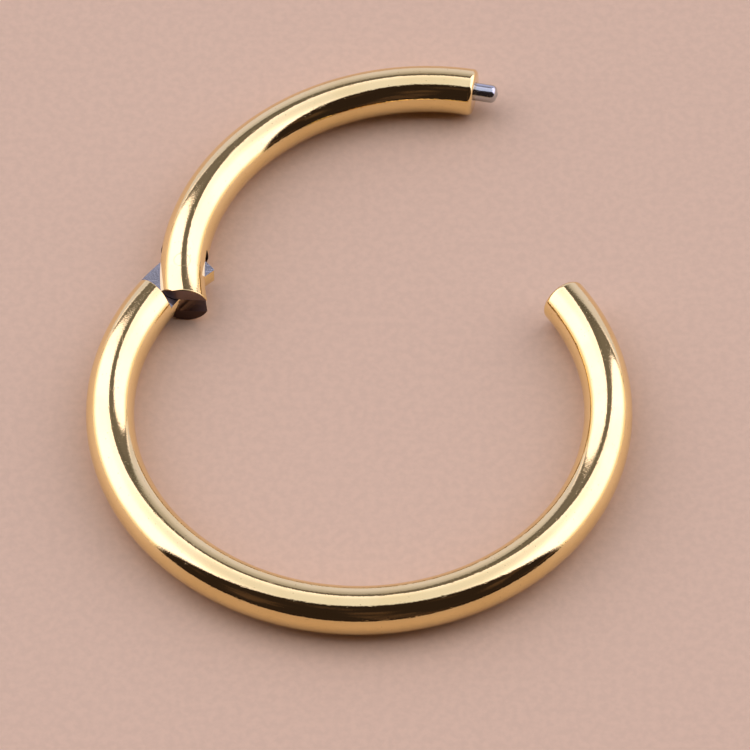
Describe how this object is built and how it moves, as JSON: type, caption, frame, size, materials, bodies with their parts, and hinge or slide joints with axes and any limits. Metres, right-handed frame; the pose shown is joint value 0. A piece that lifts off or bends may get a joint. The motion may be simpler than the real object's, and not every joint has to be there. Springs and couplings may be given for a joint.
{
  "type": "clicker ring",
  "caption": "Round wire ring for a piercing, with a gate that swings open on a flush hinge pin and clicks shut with a small nub in the free end.",
  "frame": {"origin": "centre of the shut ring's circle, on the wire's mid-plane", "axes": "+Z along the ring's axis, up as the ring lies; +X from the hinge towards the main arc's free end, and -Y towards the closed bottom of the ring"},
  "size_m": [0.0134, 0.0176, 0.0012],
  "materials": {
    "gold_plating": "polished gold-tone plating on steel",
    "bare_steel": "bare polished steel"
  },
  "bodies": {
    "ring": {"main_arc": "gold_plating"},
    "gate": {"gate": "gold_plating", "hinge_pin": "gold_plating", "latch_nub": "bare_steel"}
  },
  "joints": [
    {"name": "gate_hinge", "type": "hinge", "parent": "ring", "child": "gate", "pos_m": [-0.00443, 0.00426, 0], "axis": [0, 0, 1], "range_deg": [-43.2, 60]}
  ]
}
